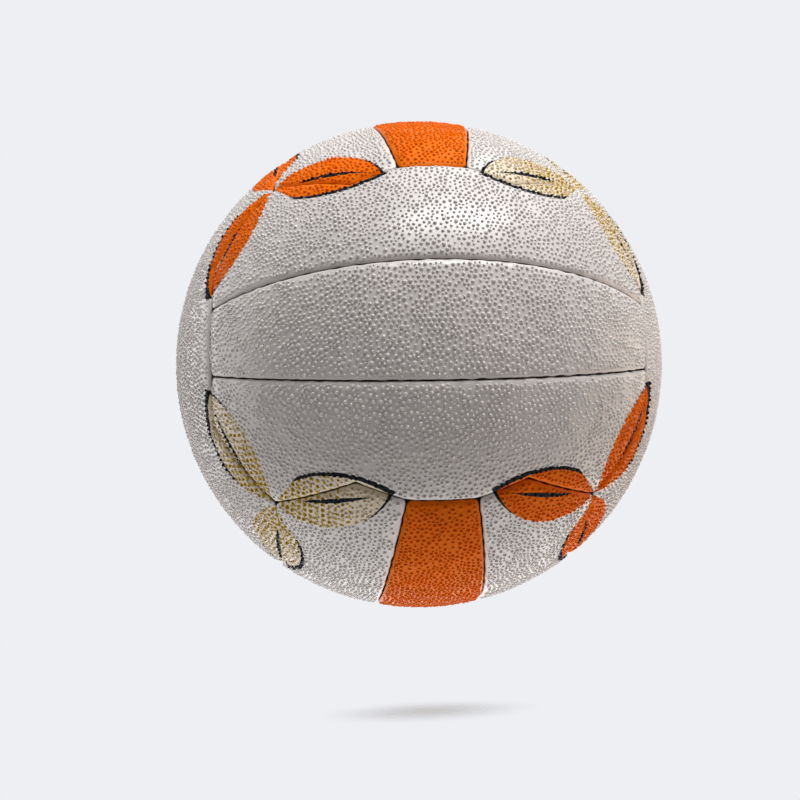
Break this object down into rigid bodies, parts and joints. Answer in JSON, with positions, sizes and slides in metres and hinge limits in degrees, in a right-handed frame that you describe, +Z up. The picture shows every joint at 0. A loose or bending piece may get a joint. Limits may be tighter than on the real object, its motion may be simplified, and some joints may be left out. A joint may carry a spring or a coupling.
{
  "type": "netball",
  "caption": "Inflated match ball with a pebbled rubber cover of sewn strips over a cloth lining and a bladder, with a needle valve at the back.",
  "frame": {"origin": "the ball's centre", "axes": "+Z up and +Y from the ball's centre out through the valve; the pictured side faces -Y and its strips run along X"},
  "size_m": [0.2228, 0.2227, 0.2228],
  "materials": {
    "white_grip": "pebbled, satin",
    "orange_grip": "pebbled, satin",
    "cloth_lining": "woven",
    "sewing_thread": "waxed",
    "bladder_rubber": "smooth, satin",
    "valve_rubber": "matt"
  },
  "bodies": {
    "root": {"back_lower_lining": "cloth_lining", "back_lower_panel": "white_grip", "back_middle_lining": "cloth_lining", "back_middle_panel": "white_grip", "back_thread": "sewing_thread", "back_upper_lining": "cloth_lining", "back_upper_panel": "white_grip", "bladder": "bladder_rubber", "bottom_left_lining": "cloth_lining", "bottom_left_panel": "white_grip", "bottom_middle_lining": "cloth_lining", "bottom_middle_panel": "orange_grip", "bottom_right_lining": "cloth_lining", "bottom_right_panel": "white_grip", "bottom_thread": "sewing_thread", "front_lower_lining": "cloth_lining", "front_lower_panel": "white_grip", "front_middle_lining": "cloth_lining", "front_middle_panel": "white_grip", "front_thread": "sewing_thread", "front_upper_lining": "cloth_lining", "front_upper_panel": "white_grip", "left_back_lining": "cloth_lining", "left_back_panel": "white_grip", "left_front_lining": "cloth_lining", "left_front_panel": "white_grip", "left_middle_lining": "cloth_lining", "left_middle_panel": "white_grip", "left_thread": "sewing_thread", "right_back_lining": "cloth_lining", "right_back_panel": "white_grip", "right_front_lining": "cloth_lining", "right_front_panel": "white_grip", "right_middle_lining": "cloth_lining", "right_middle_panel": "white_grip", "right_thread": "sewing_thread", "top_left_lining": "cloth_lining", "top_left_panel": "white_grip", "top_middle_lining": "cloth_lining", "top_middle_panel": "orange_grip", "top_right_lining": "cloth_lining", "top_right_panel": "white_grip", "top_thread": "sewing_thread", "valve_plug": "valve_rubber", "valve_seat": "valve_rubber"}
  },
  "joints": []
}
